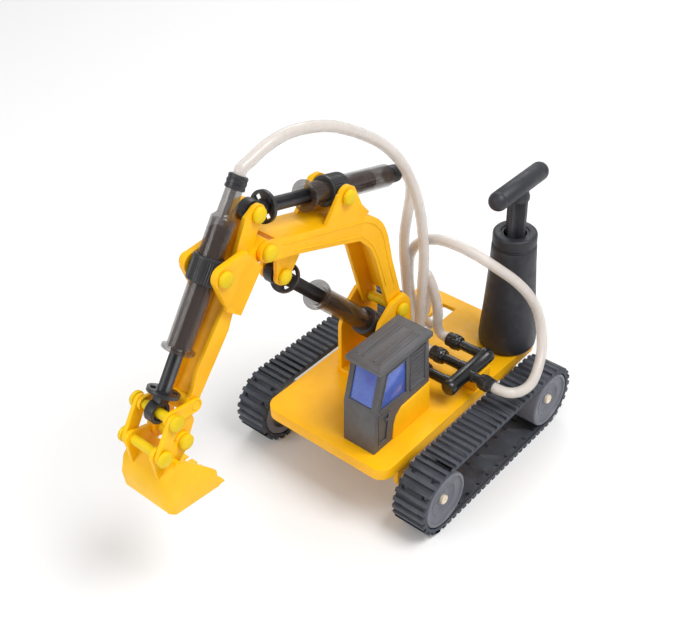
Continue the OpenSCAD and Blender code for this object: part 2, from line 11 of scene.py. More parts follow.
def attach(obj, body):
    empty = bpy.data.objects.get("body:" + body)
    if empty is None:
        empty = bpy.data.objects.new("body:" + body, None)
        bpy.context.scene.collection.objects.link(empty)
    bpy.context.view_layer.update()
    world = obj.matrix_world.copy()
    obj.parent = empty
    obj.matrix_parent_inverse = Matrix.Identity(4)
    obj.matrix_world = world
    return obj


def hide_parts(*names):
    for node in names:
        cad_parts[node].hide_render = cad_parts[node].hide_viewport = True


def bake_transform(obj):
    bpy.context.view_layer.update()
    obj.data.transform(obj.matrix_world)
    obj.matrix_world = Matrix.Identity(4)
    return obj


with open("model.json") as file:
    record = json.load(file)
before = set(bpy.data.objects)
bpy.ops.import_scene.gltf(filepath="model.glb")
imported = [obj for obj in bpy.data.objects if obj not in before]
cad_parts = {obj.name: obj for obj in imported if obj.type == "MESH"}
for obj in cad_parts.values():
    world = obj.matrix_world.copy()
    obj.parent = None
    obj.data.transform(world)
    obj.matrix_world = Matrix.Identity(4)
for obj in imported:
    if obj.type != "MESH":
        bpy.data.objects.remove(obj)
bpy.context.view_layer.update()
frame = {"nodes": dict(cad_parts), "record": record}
NODES = frame["nodes"]
BODY_OF = {n: b for b, ns in frame["record"]["behaviour"]["bodies"].items() for n in ns}
SLOT_OF = {s["node"]: s["material_slot"] for s in frame["record"]["subparts"]}
scene = bpy.context.scene
MM = 0.001
OX = 3.25
AY = -14.0

# ------------------------------------------------------------------ camera
cam_data = bpy.data.cameras.new("camera")
cam_data.sensor_width = 36.0
cam_data.lens = 57.106
cam_data.clip_start = 0.01
cam_data.clip_end = 20
cam = bpy.data.objects.new("camera", cam_data)
scene.collection.objects.link(cam)
right = Vector((-0.64815, 0.76114, -0.02411))
up = Vector((-0.48224, -0.38574, 0.78654))
back = Vector((0.58936, 0.52142, 0.61706))
cam.matrix_world = Matrix((
    (right.x, up.x, back.x, (295.30 + OX) * MM),
    (right.y, up.y, back.y, 264.44 * MM),
    (right.z, up.z, back.z, 407.86 * MM),
    (0, 0, 0, 1)))
scene.camera = cam

# ------------------------------------------------------------------ materials


def lin(rgb):
    return tuple((c / 255.0) ** 2.2 for c in rgb)


def material(name, rgb, rough=0.4, var=0.10, bump=0.08, fine=900.0, grain=0.35, edge_highlight=0.25,
             dust=0.0, specular=0.5, coat=0.0, coat_rough=0.2, metallic=0.0, sss=0.0,
             transmission=0.0, alpha=1.0, mould=0.0, ior=1.46):
    m = bpy.data.materials.new(name)
    m.use_nodes = True
    nt = m.node_tree
    b = nt.nodes["Principled BSDF"]
    base = lin(rgb)
    co = nt.nodes.new("ShaderNodeTexCoord")

    def noise(scale, detail=3.0, rough_=0.55, distortion=0.0):
        n = nt.nodes.new("ShaderNodeTexNoise")
        n.inputs["Scale"].default_value = scale
        n.inputs["Detail"].default_value = detail
        n.inputs["Roughness"].default_value = rough_
        n.inputs["Distortion"].default_value = distortion
        nt.links.new(co.outputs["Object"], n.inputs["Vector"])
        return n

    def ramp(src, lo, hi, a, z):
        r = nt.nodes.new("ShaderNodeMapRange")
        r.inputs["From Min"].default_value = lo
        r.inputs["From Max"].default_value = hi
        r.inputs["To Min"].default_value = a
        r.inputs["To Max"].default_value = z
        nt.links.new(src, r.inputs["Value"])
        return r.outputs["Result"]

    def mix(fac, a, z, kind="MIX"):
        x = nt.nodes.new("ShaderNodeMix")
        x.data_type = "RGBA"
        x.blend_type = kind
        if isinstance(fac, float):
            x.inputs[0].default_value = fac
        else:
            nt.links.new(fac, x.inputs[0])
        for k, v in ((6, a), (7, z)):
            if isinstance(v, tuple):
                x.inputs[k].default_value = (*v, 1)
            else:
                nt.links.new(v, x.inputs[k])
        return x.outputs[2]

    big = noise(38, 3)
    mid = noise(230, 4, 0.6, 0.3)
    small = noise(fine, 5, 0.7)
    dark = tuple(c * (1 - var) for c in base)
    light = tuple(min(1, c * (1 + var) + 0.012 * var) for c in base)
    col = mix(ramp(big.outputs["Fac"], 0.32, 0.68, 0, 1), dark, light)
    col = mix(ramp(mid.outputs["Fac"], 0.45, 0.75, 0, 0.45), col,
              tuple(c * (1 - 0.8 * var) for c in base))
    # convex edges, found by pointiness, are painted lighter: a painted edge highlight
    if edge_highlight > 0:
        geo = nt.nodes.new("ShaderNodeNewGeometry")
        edge = ramp(geo.outputs["Pointiness"], 0.53, 0.62, 0, edge_highlight)
        col = mix(edge, col, tuple(min(1, c * 1.25 + 0.05) for c in base))
    if dust > 0:
        d = noise(95, 6, 0.7, 0.6)
        col = mix(ramp(d.outputs["Fac"], 0.5, 0.75, 0, dust), col, (0.32, 0.30, 0.28))
    nt.links.new(col, b.inputs["Base Color"])
    nt.links.new(ramp(mid.outputs["Fac"], 0.3, 0.7, rough * (1 - grain * 0.5), min(1, rough * (1 + grain))),
                 b.inputs["Roughness"])
    bp = nt.nodes.new("ShaderNodeBump")
    bp.inputs["Strength"].default_value = bump
    bp.inputs["Distance"].default_value = 0.0004
    nt.links.new(small.outputs["Fac"], bp.inputs["Height"])
    last = bp
    if mould > 0:
        b2 = nt.nodes.new("ShaderNodeBump")
        b2.inputs["Strength"].default_value = mould
        b2.inputs["Distance"].default_value = 0.0012
        nt.links.new(mid.outputs["Fac"], b2.inputs["Height"])
        nt.links.new(bp.outputs["Normal"], b2.inputs["Normal"])
        last = b2
    nt.links.new(last.outputs["Normal"], b.inputs["Normal"])
    b.inputs["Metallic"].default_value = metallic
    b.inputs["Specular IOR Level"].default_value = specular
    b.inputs["IOR"].default_value = ior
    b.inputs["Coat Weight"].default_value = coat
    b.inputs["Coat Roughness"].default_value = coat_rough
    b.inputs["Subsurface Weight"].default_value = sss
    b.inputs["Subsurface Scale"].default_value = 0.002
    b.inputs["Transmission Weight"].default_value = transmission
    b.inputs["Alpha"].default_value = alpha
    m.diffuse_color = (*base, 1)
    return m


MAT = {
    "yellow_plastic": material("yellow_plastic", (250, 180, 2), 0.4, 0.09, 0.06, 1300, 0.35, 0.10, specular=0.35, sss=0.04, mould=0.04),
    "lemon_plastic": material("lemon_plastic", (251, 190, 4), 0.4, 0.09, 0.06, 1300, 0.35, 0.10, specular=0.35, sss=0.04, mould=0.04),
    "lime_cap": material("lime_cap", (224, 190, 8), 0.42, 0.1, 0.07, 1500, 0.3, 0.10, specular=0.35, sss=0.06),
    "cab_grey": material("cab_grey", (82, 82, 85), 0.46, 0.16, 0.22, 1500, 0.3, 0.35, dust=0.06),
    "blue_window": material("blue_window", (74, 100, 186), 0.25, 0.14, 0.05, 900, 0.4, 0.05, coat=0.5, coat_rough=0.1, mould=0.05),
    "belt_rubber": material("belt_rubber", (46, 51, 61), 0.55, 0.16, 0.25, 1200, 0.3, 0.55, dust=0.10, specular=0.45),
    "wheel_grey": material("wheel_grey", (104, 105, 114), 0.45, 0.12, 0.12, 1100, 0.35, 0.25, dust=0.12, sss=0.05),
    "axle_cream": material("axle_cream", (228, 214, 190), 0.4, 0.12, 0.08, 1400, 0.4, 0.2, metallic=0.25),
    "gloss_black": material("gloss_black", (26, 27, 29), 0.26, 0.2, 0.06, 1200, 0.45, 0.25, coat=0.3, dust=0.03),
    "pump_black": material("pump_black", (44, 45, 51), 0.44, 0.14, 0.2, 1500, 0.3, 0.3, dust=0.06),
    "smoke_barrel": material("smoke_barrel", (66, 54, 49), 0.14, 0.12, 0.02, 700, 0.5, 0.0, specular=0.6, coat=0.5, coat_rough=0.06, alpha=0.5),
    "seal_rubber": material("seal_rubber", (26, 26, 28), 0.4, 0.2, 0.08, 1200, 0.4, 0.1),
    "black_plastic": material("black_plastic", (38, 38, 41), 0.34, 0.18, 0.08, 1300, 0.4, 0.25, coat=0.15),
    "clear_tube": material("clear_tube", (226, 218, 211), 0.24, 0.05, 0.03, 500, 0.4, 0.0, specular=0.5, sss=0.1, coat=0.3, coat_rough=0.12, alpha=0.62),
}


def dress(o, slot):
    o.data.materials.clear()
    o.data.materials.append(MAT[slot])


# ------------------------------------------------------------------ mesh helpers
def link(name, mesh):
    o = bpy.data.objects.new(name, mesh)
    scene.collection.objects.link(o)
    return o


def smooth_by_angle(me, deg=38.0):
    me.polygons.foreach_set("use_smooth", [True] * len(me.polygons))
    me.set_sharp_from_angle(angle=math.radians(deg))
    me.update()


def refine(node, width=0.3, segments=2, limit=32.0, name=None, angle=44.0):
    """A copy of a CAD node's mesh with merged corners and rounded edges, in place of the node."""
    src = NODES[node]
    me = src.data.copy()
    me.materials.clear()
    o = link(name or node + "_fine", me)
    bm = bmesh.new()
    bm.from_mesh(me)
    bmesh.ops.remove_doubles(bm, verts=bm.verts, dist=2e-6)
    bmesh.ops.dissolve_limit(bm, angle_limit=math.radians(0.6), verts=bm.verts, edges=bm.edges)
    bm.to_mesh(me)
    bm.free()
    me.update()
    if width > 0:
        bev = o.modifiers.new("edges", "BEVEL")
        bev.width = width * MM
        bev.segments = segments
        bev.limit_method = "ANGLE"
        bev.angle_limit = math.radians(limit)
        bev.use_clamp_overlap = True
        bev.miter_outer = "MITER_ARC"
        deps = bpy.context.evaluated_depsgraph_get()
        out = bpy.data.meshes.new_from_object(o.evaluated_get(deps))
        o.modifiers.clear()
        o.data = out
    bm = bmesh.new()
    bm.from_mesh(o.data)
    bmesh.ops.triangulate(bm, faces=[f for f in bm.faces if len(f.verts) > 4])
    bm.to_mesh(o.data)
    bm.free()
    smooth_by_angle(o.data, angle)
    dress(o, SLOT_OF[node])
    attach(o, BODY_OF[node])
    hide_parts(node)
    return o


class Soup:
    """Collects solids in millimetres in the frame and turns them into one object."""

    def __init__(self):
        self.v, self.f, self.m = [], [], []

    def add(self, verts, faces, mat=0):
        n = len(self.v)
        self.v += [tuple(p) for p in verts]
        self.f += [tuple(n + i for i in f) for f in faces]
        self.m += [mat] * len(faces)

    def lathe(self, profile, at, axis, seg=64, wave=None, mat=0, closed=False):
        """profile is (along, radius) pairs; axis is the direction of 'along'."""
        w = Vector(axis).normalized()
        u = w.orthogonal().normalized()
        if abs(w.y) > 0.99:
            u = Vector((1, 0, 0))
        v = w.cross(u)
        at = Vector(at)
        verts, faces = [], []
        for s, r in profile:
            for k in range(seg):
                a = 2 * math.pi * k / seg
                rr = r * (1 + (wave(s, k, seg) if wave else 0))
                verts.append(at + w * s + (u * math.cos(a) + v * math.sin(a)) * rr)
        n = len(profile)
        for i in range(n if closed else n - 1):
            j = (i + 1) % n
            for k in range(seg):
                k2 = (k + 1) % seg
                faces.append((i * seg + k, i * seg + k2, j * seg + k2, j * seg + k))
        if not closed:
            for i, rev in ((0, True), (n - 1, False)):
                if profile[i][1] > 1e-6:
                    ring = [i * seg + k for k in range(seg)]
                    faces.append(tuple(reversed(ring)) if rev else tuple(ring))
        self.add(verts, faces, mat)

    def box(self, lo, hi, mat=0):
        x0, y0, z0 = lo
        x1, y1, z1 = hi
        v = [(x0, y0, z0), (x1, y0, z0), (x1, y1, z0), (x0, y1, z0),
             (x0, y0, z1), (x1, y0, z1), (x1, y1, z1), (x0, y1, z1)]
        f = [(0, 3, 2, 1), (4, 5, 6, 7), (0, 1, 5, 4), (1, 2, 6, 5), (2, 3, 7, 6), (3, 0, 4, 7)]
        self.add(v, f, mat)

    def prism(self, pts, y0, y1, mat=0):
        """An (x, z) outline with thickness along Y."""
        n = len(pts)
        v = [(x, y0, z) for x, z in pts] + [(x, y1, z) for x, z in pts]
        f = [tuple(range(n)), tuple(reversed(range(n, 2 * n)))]
        f += [(i, n + i, n + (i + 1) % n, (i + 1) % n) for i in range(n)]
        self.add(v, f, mat)

    def done(self, name, slot, body, replaces=(), bevel=0.0, segments=2, limit=32.0, angle=40.0, mats=None):
        me = bpy.data.meshes.new(name)
        me.from_pydata([(x * MM, y * MM, z * MM) for x, y, z in self.v], [], self.f)
        bm = bmesh.new()
        bm.from_mesh(me)
        for f, i in zip(bm.faces, self.m):
            f.material_index = i
        bmesh.ops.remove_doubles(bm, verts=bm.verts, dist=1e-7)
        bmesh.ops.recalc_face_normals(bm, faces=bm.faces)
        bm.to_mesh(me)
        bm.free()
        o = link(name, me)
        if bevel:
            bev = o.modifiers.new("edges", "BEVEL")
            bev.width = bevel * MM
            bev.segments = segments
            bev.limit_method = "ANGLE"
            bev.angle_limit = math.radians(limit)
            deps = bpy.context.evaluated_depsgraph_get()
            out = bpy.data.meshes.new_from_object(o.evaluated_get(deps))
            o.modifiers.clear()
            o.data = out
        smooth_by_angle(o.data, angle)
        o.data.materials.clear()
        for s in (mats or [slot]):
            o.data.materials.append(MAT[s])
        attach(o, body)
        if replaces:
            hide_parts(*replaces)
        return o


# ------------------------------------------------------------------ pivots (x, z) in the frame
def V2(x, z):
    return Vector((x, z))


O, J = V2(-43.5, 76), V2(39.5, 153.5)
T2, P2 = V2(-9.5, 156), V2(39.4, 169.8)
T3, P3 = V2(-33, 68), V2(27.8, 133.1)
_a = math.radians(-49.46)
US, NS = V2(math.cos(_a), math.sin(_a)), V2(-math.sin(_a), math.cos(_a))


def S(s, t):
    return J + US * s + NS * t


T1, Q, K, B, P1 = S(15.3, 20.5), S(84.7, 0.6), S(69.0, 2.6), S(92.1, 12.0), S(76.4, 14.0)


def p3(p, y=AY):
    return Vector((p.x + OX, y, p.y))


# ------------------------------------------------------------------ tubes
TUBE_R = 2.6


def spline(points, step=1.0):
    """Centripetal curve through the points, resampled evenly."""
    P = [np.array(p, float) for p in points]
    P = [2 * P[0] - P[1]] + P + [2 * P[-1] - P[-2]]
    out = []
    for i in range(1, len(P) - 2):
        a, b, c, d = P[i - 1], P[i], P[i + 1], P[i + 2]
        t0 = 0
        t1 = t0 + np.linalg.norm(b - a) ** 0.5
        t2 = t1 + np.linalg.norm(c - b) ** 0.5
        t3 = t2 + np.linalg.norm(d - c) ** 0.5
        for t in np.linspace(t1, t2, 16, endpoint=False):
            A1 = (t1 - t) / (t1 - t0) * a + (t - t0) / (t1 - t0) * b
            A2 = (t2 - t) / (t2 - t1) * b + (t - t1) / (t2 - t1) * c
            A3 = (t3 - t) / (t3 - t2) * c + (t - t2) / (t3 - t2) * d
            B1 = (t2 - t) / (t2 - t0) * A1 + (t - t0) / (t2 - t0) * A2
            B2 = (t3 - t) / (t3 - t1) * A2 + (t - t1) / (t3 - t1) * A3
            out.append((t2 - t) / (t2 - t1) * B1 + (t - t1) / (t2 - t1) * B2)
    out.append(P[-2])
    out = np.array(out)
    d = np.r_[0, np.cumsum(np.linalg.norm(np.diff(out, axis=0), axis=1))]
    n = max(8, int(round(d[-1] / step)))
    s = np.linspace(0, d[-1], n + 1)
    return np.stack([np.interp(s, d, out[:, k]) for k in range(3)], 1), d[-1]


def tube_mesh(name, path, r=TUBE_R, inner=1.7, seg=28, cap0=True, cap1=True):
    """A hose with a wall, its outside on radius r and its bore on radius inner."""
    n = len(path)
    tan = np.gradient(path, axis=0)
    tan /= np.linalg.norm(tan, axis=1)[:, None]
    nrm = np.cross(tan[0], [0.3, 0.9, 0.31])
    nrm /= np.linalg.norm(nrm)
    verts = []
    for rr in (r, inner):
        u = nrm.copy()
        for i in range(n):
            u = u - tan[i] * (u @ tan[i])
            u /= np.linalg.norm(u)
            v = np.cross(tan[i], u)
            for k in range(seg):
                a = 2 * math.pi * k / seg
                verts.append(path[i] + rr * (math.cos(a) * u + math.sin(a) * v))
    faces = []
    off = n * seg
    for i in range(n - 1):
        for k in range(seg):
            k2 = (k + 1) % seg
            faces.append((i * seg + k, i * seg + k2, (i + 1) * seg + k2, (i + 1) * seg + k))
            faces.append((off + i * seg + k2, off + i * seg + k, off + (i + 1) * seg + k, off + (i + 1) * seg + k2))
    for i, flip in ((0, False), (n - 1, True)):
        for k in range(seg):
            k2 = (k + 1) % seg
            q = (i * seg + k2, i * seg + k, off + i * seg + k, off + i * seg + k2)
            faces.append(tuple(reversed(q)) if flip else q)
    me = bpy.data.meshes.new(name)
    me.from_pydata([tuple(np.array(v) * MM) for v in verts], [], faces)
    smooth_by_angle(me, 60)
    me.materials.append(MAT["clear_tube"])
    return link(name, me)


def shift(points):
    return [(x + OX, y, z) for x, y, z in points]


def hose(name, points, cuts, chain, node):
    """One hose, cut where it passes from one pair of bodies to the next. cuts are lengths in mm."""
    path, total = spline(points, 1.0)
    s = np.linspace(0, total, len(path))
    edges = [0.0] + list(cuts) + [total]
    made = []
    for i, pair in enumerate(chain):
        a, z = int(np.argmin(abs(s - edges[i]))), int(np.argmin(abs(s - edges[i + 1])))
        seg = path[a:z + 1]
        o = tube_mesh(f"{name}_{i + 1}", seg)
        if len(pair) == 2:
            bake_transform(o)
        else:
            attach(o, pair[0])
        made.append(o)
    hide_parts(node)
    print("HOSE", name, "total", round(total, 1), "mm")
    return made


def ram_dir(T, P):
    return (P - T).normalized()


F1, N1, F2, N2, F3, N3 = 35, 12.8, 17.7, 3, 53, 3
D1, D2, D3 = ram_dir(T1, P1), ram_dir(T2, P2), ram_dir(T3, P3)
E1 = T1 + D1 * (F1 - 57 - 1.6 - N1 - 3)
E2 = T2 + D2 * (F2 - 57 - 1.6 - N2 - 3)
E3 = T3 + D3 * (F3 - 57 - 1.6 - N3 - 3)


def q3(p, y=AY):
    return (p.x, y, p.y)


bucket_route = [q3(E1), q3(E1 - D1 * 2.2), (35.6, -14, 191.2), (29.6, -14, 192.9), (22.5, -13.8, 194), (13.8, -13.5, 194),
                (2.6, -13, 191.6), (-8.3, -12.3, 187.7), (-20.3, -11.5, 181), (-29.5, -10.5, 174.7),
                (-37.8, -9.5, 168), (-46.9, -7.8, 157.8), (-53.2, -5.6, 146.1), (-56.4, -3.2, 134.2),
                (-57.5, -1.2, 123), (-57.2, 0.6, 112), (-56.6, 1.8, 100), (-55.4, 2, 85),
                (-54.8, 1.8, 72), (-54.5, 1.4, 62), (-54.2, 2, 56), (-53.9, 3.8, 51.4),
                (-53.6, 6.2, 49.4), (-53.5, 8.4, 49), (-53.5, 10.5, 49)]
stick_route = [q3(E2), q3(E2 - D2 * 3.5), (-61.6, -13.9, 139.4), (-65, -13.8, 134.4), (-65.6, -13.6, 127), (-63.4, -13.5, 118),
               (-61, -13.5, 107), (-60.6, -13.5, 96), (-61.4, -13.2, 85), (-61.8, -12.6, 75), (-61, -11.2, 66),
               (-60, -8.4, 59), (-58.8, -4.4, 52.6), (-56.6, -0.6, 48), (-53, 2.2, 45.9), (-48, 3.8, 45.6),
               (-43.4, 4.8, 46.6), (-40.8, 6.2, 48.4), (-40, 8.4, 49), (-40, 10.5, 49)]
boom_route = [q3(E3), q3(E3 - D3 * 3.5), (-50.4, -13.8, 47.2), (-57, -12.8, 44.2), (-65, -11, 44.6), (-72, -10, 49.5), (-76, -10, 58),
              (-76.6, -10.2, 67), (-75, -9.6, 74), (-71.6, -7, 78.6), (-68.4, -3, 79), (-66.6, 0.6, 75.6),
              (-66, 3.4, 68.6), (-66, 4.2, 62), (-66.2, 4, 56.5), (-66.6, 4.6, 52), (-66.9, 6.4, 49.7),
              (-67, 8.4, 49), (-67, 10.5, 49)]
NP = -50.5
pump_route = [(NP, 50, 49), (NP, 53, 49), (-52, 57.6, 48.7), (-57, 60.6, 47.6),
              (-66, 61.2, 46.8), (-75, 59, 48.6), (-83.4, 55.6, 53.6), (-88.6, 51.2, 62), (-88, 48, 73),
              (-83, 45.2, 84), (-76.8, 41, 93.6), (-70.6, 35, 101.4), (-66.4, 27, 107), (-63.8, 17, 110.2),
              (-63, 7, 110), (-63.6, -2, 106), (-65, -9.6, 99), (-67, -14.6, 90), (-69, -17, 79),
              (-70.4, -17.4, 67), (-72.6, -16.8, 56), (-76.4, -15.6, 47), (-81.4, -14.6, 39.4),
              (-87, -13, 32), (-92, -8.6, 27.4), (-95.8, -1.4, 26.5), (-97.5, 9, 26.5), (-97.5, 14, 26.5)]

hose("bucket_hose", shift(bucket_route), (42, 104), [("bucket_ram_body", "stick_arm"), ("stick_arm", "boom_arm"), ("boom_arm", "chassis")], "bucket_tube")
hose("stick_hose", shift(stick_route), (34,), [("stick_ram_body", "boom_arm"), ("boom_arm", "chassis")], "stick_tube")
hose("boom_hose", shift(boom_route), (), [("boom_ram_body", "chassis")], "boom_tube")
hose("pump_hose", shift(pump_route), (), [("chassis",)], "pump_tube")

# ------------------------------------------------------------------ CAD pieces with rounded edges
for n, w in (("deck", 0.9), ("boom_bracket", 0.45), ("boom", 0.4), ("stick_bracket", 0.4), ("stick_channel", 0.35),
             ("bucket", 0.3), ("rocker_arms", 0.35), ("bucket_links", 0.35), ("engine_cover", 0.6), ("cab_shell", 0.35),
             ("manifold_post", 0.5), ("axle_hangers", 0.4), ("bucket_ram_rod", 0.25), ("stick_ram_rod", 0.25),
             ("boom_ram_rod", 0.25), ("pump_rod", 0.25), ("track_left", 0.18), ("track_right", 0.18)):
    refine(n, w, 2 if n.startswith("track") else 3)


# ------------------------------------------------------------------ lathe-turned pieces
def dome_profile(w, r, h, steps=9, rim=0.5):
    """Flat-sided rim, then a rounded crown."""
    pts = [(w, 0.0), (w, r - 0.3), (w + 0.3, r), (w + h * rim, r)]
    for i in range(1, steps + 1):
        a = math.pi / 2 * i / steps
        pts.append((w + h * rim + h * (1 - rim) * math.sin(a), r * math.cos(a) ** 0.75 if i < steps else 0.0))
    return pts


def pin_piece(node, at, r, w, rd, hd, boss=None):
    s = Soup()
    s.lathe([(-w, 0), (-w, r), (w, r), (w, 0)], p3(at), (0, 1, 0), 48)
    if boss:
        s.lathe([(-boss[1], 0), (-boss[1], boss[0]), (boss[1], boss[0]), (boss[1], 0)], p3(at), (0, 1, 0), 48)
    for d in (1, -1):
        s.lathe(dome_profile(w, rd, hd), p3(at), (0, d, 0), 48)
    return s.done(node + "_fine", "lime_cap", BODY_OF[node], (node,))


# rim lines moulded on the boom's sides
def strip(points, w):
    P = [V2(*p) for p in points]
    left, right = [], []
    for k, p in enumerate(P):
        d = (P[min(k + 1, len(P) - 1)] - P[max(k - 1, 0)]).normalized()
        n = V2(-d.y, d.x) * (w / 2)
        left.append((p.x + n.x + OX, p.y + n.y))
        right.append((p.x - n.x + OX, p.y - n.y))
    return left + right[::-1]


s = Soup()
for line in ([(30.6, 152.8), (8, 146.1), (-16.2, 138.9), (-20.7, 137.4), (-24.4, 135.3), (-27.7, 132.7), (-30.5, 129.6),
              (-32.7, 125.7), (-34.3, 121.2), (-35.6, 115), (-37.6, 105.3), (-41.3, 92)],
             [(24.2, 146.4), (-3.8, 136.3), (-19, 130.6), (-25.8, 122.8), (-29.8, 113.8), (-35.4, 94)]):
    out = strip(line, 0.9)
    s.prism(out, AY - 9.75, AY - 9.35)
    s.prism(out, AY + 9.35, AY + 9.75)
s.done("boom_rim_lines", "yellow_plastic", "boom_arm", bevel=0.14)

pin_piece("boom_pivot_pin", O, 2.48, 12.3, 3.7, 2.8)
pin_piece("stick_pivot_pin", J, 2.48, 9.6, 3.7, 2.8)
pin_piece("boom_ram_pin", P3, 2.28, 5.2, 3.5, 2.4)
pin_piece("stick_ram_pin", P2, 2.28, 5.2, 3.5, 2.4)
pin_piece("bucket_pivot_pin", Q, 2.18, 8.9, 3.6, 2.5)
s = Soup()
s.lathe([(-8.7, 0), (-8.7, 1.9), (-8.45, 2.18), (8.45, 2.18), (8.7, 1.9), (8.7, 0)], p3(K), (0, 1, 0), 40)
s.done("rocker_pin_fine", "lemon_plastic", "stick_arm", ("rocker_pin",))
pin_piece("bucket_link_pin", B, 2.18, 11.3, 3.6, 2.5)
pin_piece("bucket_ram_pin", P1, 2.18, 11.3, 3.6, 2.5)

# rams: barrel, knurled collar, nozzle cap, pin caps, piston
for a, T, P, D, xf, nl, w in (("bucket", T1, P1, D1, F1, N1, 10.4), ("stick", T2, P2, D2, F2, N2, 9.75),
                              ("boom", T3, P3, D3, F3, N3, 12.3)):
    axis = Vector((D.x, 0, D.y))
    at = p3(T)
    xs = xf - 57
    s = Soup()
    prof = [(xs + 1.2, 4.45), (xf - 0.25, 4.45), (xf, 4.65), (xf, 6.85), (xf - 0.25, 7.15), (xf - 0.9, 7.2), (xf - 1.35, 7.1),
            (xf - 1.5, 6.8), (xf - 1.55, 5.8), (xf - 2.0, 5.42), (xf - 3, 5.35), (xs + 0.9, 5.35), (xs + 0.3, 5.15),
            (xs - 0.2, 4.6), (xs - 1.2, 3.85), (xs - 1.6, 3.68), (xs - 1.6 - nl, 3.45), (xs - 1.6 - nl, 1.2), (xs + 1.2, 1.2)]
    s.lathe(prof, at, axis, 96, closed=True)
    s.done(a + "_ram_barrel_fine", "smoke_barrel", a + "_ram_body", (a + "_ram_barrel",))
    # collar with small flutes round it, and its two stub axles
    s = Soup()
    flute = lambda q, k, n: (-0.028 if (k % 4) in (0, 1) else 0.0) if abs(q) < 4.4 else 0.0
    s.lathe([(-5.5, 5.36), (-5.5, 6.6), (-5.2, 6.9), (-4.5, 7.0), (-4.35, 7.0), (4.35, 7.0), (4.5, 7.0), (5.2, 6.9), (5.5, 6.6),
             (5.5, 5.36)], at, axis, 176, wave=flute, closed=True)
    for d in (1, -1):
        s.lathe([(6.4, 0), (6.4, 2.2), (w, 2.2), (w, 0)], at, (0, d, 0), 40)
    s.done(a + "_ram_collar_fine", "black_plastic", a + "_ram_body", (a + "_ram_collar",), angle=30)
    xe = xs - 1.6 - nl
    s = Soup()
    s.lathe([(xe, 0), (xe, 3.65), (xe + 2.8, 3.65), (xe + 2.8, 4.05), (xe + 2.5, 4.2), (xe + 1.6, 4.2), (xe + 1.4, 4.0),
             (xe + 0.6, 4.0), (xe + 0.4, 4.2), (xe - 0.6, 4.2), (xe - 0.8, 4.0), (xe - 1.6, 4.0), (xe - 1.8, 4.15),
             (xe - 2.6, 4.05), (xe - 3.0, 3.6), (xe - 3.0, 0)], at, axis, 72)
    s.done(a + "_nozzle_cap_fine", "black_plastic", a + "_ram_body", (a + "_ram_nozzle_cap",))
    s = Soup()
    for d in (1, -1):
        s.lathe(dome_profile(w + 0.05, 3.5, 2.65), at, (0, d, 0), 48)
    s.done(a + "_pin_caps_fine", "lime_cap", a + "_ram_body", (a + "_ram_pin_caps",))
    L = (P - T).length
    r = 4.4
    s = Soup()
    e = L - (70.5 if a == "bucket" else 69.5)
    s.lathe([(e - 9.1, 0), (e - 9.1, 2.4), (e - 8.7, 3.2), (e - 8.0, 4.1), (e - 7.7, r), (e - 6.5, r), (e - 6.2, r - 0.5),
             (e - 4.8, r - 0.5), (e - 4.5, r), (e - 3.3, r), (e - 3.0, r - 0.5), (e - 1.6, r - 0.5), (e - 1.3, r),
             (e - 0.1, r), (e, r - 0.2), (e, 0)], at, axis, 72)
    s.done(a + "_piston_fine", "seal_rubber", a + "_plunger", (a + "_ram_piston",))

# wheels and axles
for end, x in (("front", 0.0), ("rear", -90.0)):
    body = end + "_wheels"
    s = Soup()
    for d in (1, -1):
        s.lathe([(0, 0), (0, 2.4), (59.0, 2.4), (59.4, 2.0), (59.4, 1.0), (58.9, 0.8), (58.9, 0)], (x + OX, 0, 18.3), (0, d, 0), 48)
    s.done(end + "_axle_fine", "axle_cream", body, (end + "_axle",))
    for side_, d in (("left", 1), ("right", -1)):
        s = Soup()
        y0 = 42.1
        prof = [(0.6, 2.42), (0.6, 6), (2.6, 6.2), (2.6, 10.8), (0.0, 11.1), (0.0, 14.4), (0.3, 14.7), (17.0, 14.7), (17.5, 14.5),
                (17.8, 14.0), (17.8, 13.2), (17.5, 12.9), (16.95, 12.7), (16.8, 12.2), (16.55, 9.6), (16.5, 9.3), (16.75, 9.1),
                (16.75, 8.5), (16.3, 8.2), (15.9, 7.6), (15.5, 6.9), (15.3, 5.2), (15.3, 3.6), (15.7, 3.4), (15.7, 2.42)]
        s.lathe([(y0 + q, r) for q, r in prof], (x + OX, 0, 18.3), (0, d, 0), 96, closed=True)
        # dark hub recess
        # the near-black ring on the recess floor is painted shade in the hub recess
        s.lathe([(y0 + 15.32, 3.65), (y0 + 15.36, 5.15)], (x + OX, 0, 18.3), (0, d, 0), 64, mat=1)
        s.done(f"wheel_{end}_{side_}_fine", "wheel_grey", body, (f"wheel_{end}_{side_}",), mats=["wheel_grey", "seal_rubber"])

# pump: cone, grooved cap, handle, piston
PX, PY = -97.5 + OX, 26.5
s = Soup()
s.lathe([(26.6, 0), (26.6, 3.2), (27, 3.5), (37, 3.5), (37, 13.5), (37.3, 14.1), (38.4, 14.75), (40.4, 15), (42.6, 15), (46, 14.72),
         (50, 14.4), (55, 13.92), (60, 13.5), (65, 13.1), (71, 12.68), (77, 12.3), (83, 11.93), (89, 11.6), (94, 11.38), (97.6, 11.2),
         (98, 10.9), (98, 8.6), (43, 8.6), (43, 0)], (PX, PY, 0), (0, 0, 1), 96)
s.lathe([(-3.2, 0), (-3.2, 2.5), (4.4, 2.5), (4.7, 2.2), (12.5, 2.2), (12.5, 0)], (PX, PY, 26.5), (0, -1, 0), 40)
s.done("pump_barrel_fine", "pump_black", "chassis", ("pump_barrel",))
s = Soup()
s.lathe([(0, 5.55), (0, 10.6), (0.25, 10.85), (1.0, 11), (1.15, 10.7), (1.5, 10.7), (1.65, 11), (5.9, 11), (6.6, 10.85), (7.1, 10.4),
         (7.3, 9.9), (7.3, 7.2), (7.15, 6.9), (6.7, 6.7), (6.6, 5.9), (6.3, 5.55)], (PX, PY, 98), (0, 0, 1), 96, closed=True)
